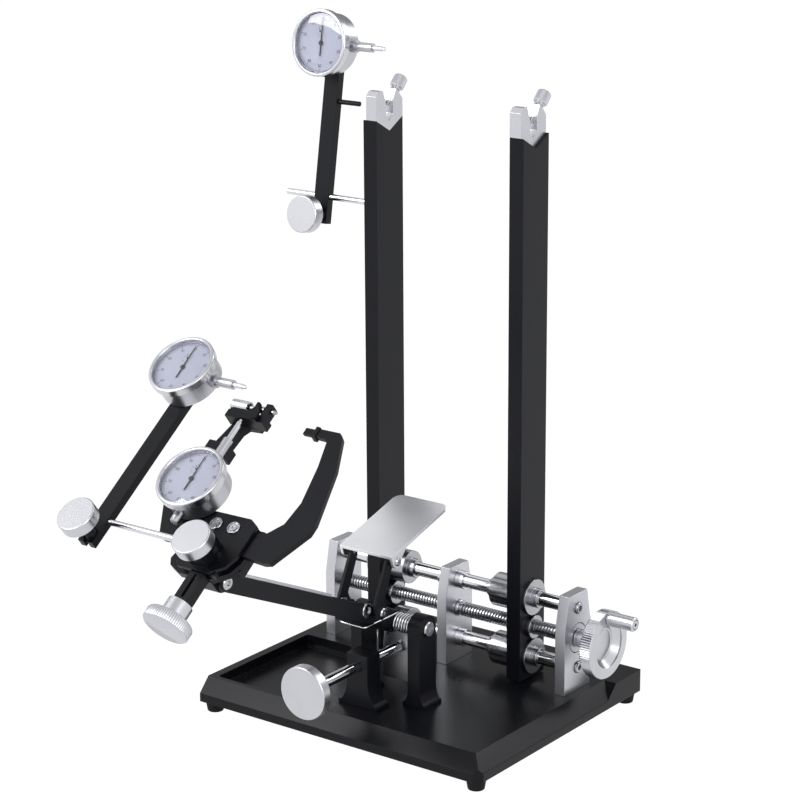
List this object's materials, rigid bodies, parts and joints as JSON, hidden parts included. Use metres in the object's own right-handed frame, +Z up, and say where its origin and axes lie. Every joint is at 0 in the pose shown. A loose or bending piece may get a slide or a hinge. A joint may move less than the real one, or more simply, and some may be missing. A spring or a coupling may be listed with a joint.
{
  "type": "wheel truing stand",
  "caption": "Wheel truing stand with self-centring uprights on guide rods, a sprung swing arm, a caliper head and dial indicators.",
  "frame": {"origin": "centre of the base slab's underside; the rubber feet reach 8.86 mm below it", "axes": "+X along the guide rods towards the handwheel, +Y to the back (the pedal, arm and head are at -Y), +Z up"},
  "size_m": [0.3715, 0.4658, 0.5979],
  "materials": {
    "satin_black": "satin",
    "satin_aluminium": "satin",
    "bright_chrome": "polished",
    "turned_steel": "satin",
    "dial_body": "satin",
    "needle_black": "matt",
    "foot_rubber": "matt"
  },
  "bodies": {
    "stand": {"base_plate": "satin_black", "rubber_feet": "foot_rubber", "left_plate": "satin_aluminium", "centre_plate": "satin_aluminium", "right_plate": "satin_aluminium", "guide_rods": "bright_chrome", "rod_end_screws": "turned_steel", "bracket_cheeks": "satin_black", "adjuster_block": "satin_black", "pivot_pin": "turned_steel", "torsion_spring": "bright_chrome"},
    "screw": {"lead_screw": "turned_steel", "handwheel": "satin_aluminium"},
    "grip": {"crank_grip": "satin_aluminium"},
    "right_carriage": {"right_upright": "satin_black", "right_bushes": "satin_aluminium", "right_dropout": "satin_aluminium"},
    "right_thumb": {"right_thumbscrew": "satin_aluminium"},
    "left_carriage": {"left_upright": "satin_black", "left_bushes": "satin_aluminium", "left_dropout": "satin_aluminium", "upper_rod": "bright_chrome"},
    "left_thumb": {"left_thumbscrew": "satin_aluminium"},
    "upper_bar_body": {"upper_bar": "satin_black", "dial_c_case": "dial_body", "dial_c_bezel": "dial_body"},
    "upper_knob_body": {"upper_knob": "satin_aluminium"},
    "c_plunger": {"dial_c_plunger": "turned_steel"},
    "c_needle": {"dial_c_needle": "needle_black"},
    "arm": {"arm_sides": "satin_black", "arm_strip": "satin_aluminium", "arm_tail": "satin_black", "stop_plate": "satin_aluminium", "arm_screws": "turned_steel", "lever_bars": "satin_black", "pedal": "satin_aluminium", "spring_leg": "bright_chrome"},
    "stop_screw_body": {"stop_screw": "bright_chrome"},
    "stop_knob_body": {"stop_knob": "satin_aluminium"},
    "head": {"head_body": "satin_black", "head_cover": "satin_black", "head_screws": "turned_steel", "lower_rod": "bright_chrome"},
    "clamp_knob_body": {"clamp_knob": "satin_aluminium"},
    "slider": {"cal_slider": "turned_steel"},
    "cal_knob_body": {"cal_knob": "satin_aluminium"},
    "right_jaw_body": {"right_jaw": "satin_black"},
    "left_jaw_body": {"left_jaw": "satin_black", "dial_b_case": "dial_body", "dial_b_bezel": "dial_body"},
    "feeler": {"feeler_pin": "turned_steel"},
    "crank": {"bell_crank": "satin_black"},
    "b_plunger": {"dial_b_plunger": "turned_steel"},
    "b_needle": {"dial_b_needle": "needle_black"},
    "lower_bar_body": {"lower_bar": "satin_black", "dial_a_case": "dial_body", "dial_a_bezel": "dial_body"},
    "lower_knob_body": {"lower_knob": "satin_aluminium"},
    "a_plunger": {"dial_a_plunger": "turned_steel"},
    "a_needle": {"dial_a_needle": "needle_black"}
  },
  "joints": [
    {"name": "lead_screw_turn", "type": "hinge", "parent": "stand", "child": "screw", "pos_m": [0, 0.05105, 0.0687], "axis": [1, 0, 0], "range_deg": [-2881, 2401]},
    {"name": "grip_turn", "type": "hinge", "parent": "screw", "child": "grip", "pos_m": [0.17, 0.05105, 0.0932], "axis": [1, 0, 0], "continuous": true},
    {"name": "right_upright_slide", "type": "slide", "parent": "stand", "child": "right_carriage", "axis": [1, 0, 0], "range_m": [-0.024, 0.02]},
    {"name": "left_upright_slide", "type": "slide", "parent": "stand", "child": "left_carriage", "axis": [1, 0, 0], "range_m": [-0.02001, 0.02401]},
    {"name": "right_thumbscrew_turn", "type": "hinge", "parent": "right_carriage", "child": "right_thumb", "pos_m": [0.0745, 0.05105, 0.5058], "axis": [0, 0.682, 0.7314], "range_deg": [-1080, 180]},
    {"name": "left_thumbscrew_turn", "type": "hinge", "parent": "left_carriage", "child": "left_thumb", "pos_m": [-0.0745, 0.05105, 0.5058], "axis": [0, 0.682, 0.7314], "range_deg": [-1080, 180]},
    {"name": "upper_bar_turn", "type": "hinge", "parent": "left_carriage", "child": "upper_bar_body", "pos_m": [-0.1425, 0.05105, 0.42384], "axis": [1, 0, 0], "range_deg": [-70, 70]},
    {"name": "upper_knob_turn", "type": "hinge", "parent": "upper_bar_body", "child": "upper_knob_body", "pos_m": [-0.1425, 0.02871, 0.41132], "axis": [0, -0.9866, 0.1633], "range_deg": [-360, 180]},
    {"name": "lower_bar_turn", "type": "hinge", "parent": "head", "child": "lower_bar_body", "pos_m": [-0.111, -0.27766, 0.21672], "axis": [1, 0, 0], "range_deg": [-40, 70]},
    {"name": "lower_knob_turn", "type": "hinge", "parent": "lower_bar_body", "child": "lower_knob_body", "pos_m": [-0.111, -0.30247, 0.22306], "axis": [0, -0.6018, 0.7986], "range_deg": [-360, 180]},
    {"name": "arm_swing", "type": "hinge", "parent": "stand", "child": "arm", "pos_m": [0, -0.0523, 0.0895], "axis": [1, 0, 0], "range_deg": [0, 12], "stiffness_Nm_per_rad": 5, "springref_deg": -57.3},
    {"name": "stop_screw_slide", "type": "slide", "parent": "stand", "child": "stop_screw_body", "axis": [0, 1, 0], "range_m": [-0.012, 0]},
    {"name": "stop_knob_turn", "type": "hinge", "parent": "stop_screw_body", "child": "stop_knob_body", "pos_m": [0, -0.16, 0.0571], "axis": [0, 1, 0], "range_deg": [-2881, 0]},
    {"name": "head_tilt", "type": "hinge", "parent": "arm", "child": "head", "pos_m": [0, -0.27058, 0.18806], "axis": [1, 0, 0], "range_deg": [-20, 20]},
    {"name": "clamp_knob_turn", "type": "hinge", "parent": "head", "child": "clamp_knob_body", "pos_m": [0, -0.29135, 0.22343], "axis": [0, -0.6018, 0.7986], "range_deg": [-360, 180]},
    {"name": "right_jaw_open", "type": "hinge", "parent": "head", "child": "right_jaw_body", "pos_m": [0.009, -0.2548, 0.22593], "axis": [0, 0.6018, -0.7986], "range_deg": [0, 5]},
    {"name": "left_jaw_open", "type": "hinge", "parent": "head", "child": "left_jaw_body", "pos_m": [-0.009, -0.2548, 0.22593], "axis": [0, -0.6018, 0.7986], "range_deg": [0, 5]},
    {"name": "cal_slider_slide", "type": "slide", "parent": "head", "child": "slider", "axis": [0, -0.7986, -0.6018], "range_m": [0, 0.00401]},
    {"name": "cal_knob_turn", "type": "hinge", "parent": "head", "child": "cal_knob_body", "pos_m": [0, -0.32623, 0.16835], "axis": [0, -0.7986, -0.6018], "range_deg": [0, 1441]},
    {"name": "feeler_slide", "type": "slide", "parent": "left_jaw_body", "child": "feeler", "axis": [-1, 0, 0], "range_m": [0, 0.0035], "stiffness_N_per_m": 60, "springref_m": -0.01},
    {"name": "bell_crank_turn", "type": "hinge", "parent": "left_jaw_body", "child": "crank", "pos_m": [-0.0291, -0.18312, 0.29497], "axis": [0, -0.6018, 0.7986], "range_deg": [0, 19.2]},
    {"name": "dial_b_plunger_slide", "type": "slide", "parent": "left_jaw_body", "child": "b_plunger", "axis": [0, -0.7986, -0.6018], "range_m": [0, 0.00351]},
    {"name": "dial_b_needle_turn", "type": "hinge", "parent": "left_jaw_body", "child": "b_needle", "pos_m": [-0.0396, -0.24951, 0.25746], "axis": [0, 0.6018, -0.7986], "range_deg": [0, 1261]},
    {"name": "dial_a_plunger_slide", "type": "slide", "parent": "lower_bar_body", "child": "a_plunger", "axis": [-1, 0, 0], "range_m": [0, 0.008], "stiffness_N_per_m": 60, "springref_m": -0.01},
    {"name": "dial_a_needle_turn", "type": "hinge", "parent": "lower_bar_body", "child": "a_needle", "pos_m": [-0.111, -0.17662, 0.32191], "axis": [0, 0.6018, -0.7986], "range_deg": [0, 2881]},
    {"name": "dial_c_plunger_slide", "type": "slide", "parent": "upper_bar_body", "child": "c_plunger", "axis": [-1, 0, 0], "range_m": [0, 0.008], "stiffness_N_per_m": 60, "springref_m": -0.01},
    {"name": "dial_c_needle_turn", "type": "hinge", "parent": "upper_bar_body", "child": "c_needle", "pos_m": [-0.1425, 0.04997, 0.55934], "axis": [0, 0.9866, -0.1633], "range_deg": [0, 2881]}
  ],
  "couplings": [
    {"joint": "lead_screw_turn", "follows": "right_upright_slide", "rad_per_m": 2094.4},
    {"joint": "left_upright_slide", "follows": "right_upright_slide", "ratio": -1},
    {"joint": "stop_knob_turn", "follows": "stop_screw_slide", "rad_per_m": 4188.8},
    {"joint": "left_jaw_open", "follows": "right_jaw_open", "ratio": 1},
    {"joint": "cal_slider_slide", "follows": "right_jaw_open", "m_per_rad": 0.045837},
    {"joint": "cal_knob_turn", "follows": "right_jaw_open", "ratio": 288},
    {"joint": "bell_crank_turn", "follows": "feeler_slide", "rad_per_m": 95.238},
    {"joint": "dial_b_plunger_slide", "follows": "feeler_slide", "ratio": 1},
    {"joint": "dial_b_needle_turn", "follows": "feeler_slide", "rad_per_m": 6283.2},
    {"joint": "dial_a_needle_turn", "follows": "dial_a_plunger_slide", "rad_per_m": 6283.2},
    {"joint": "dial_c_needle_turn", "follows": "dial_c_plunger_slide", "rad_per_m": 6283.2}
  ]
}
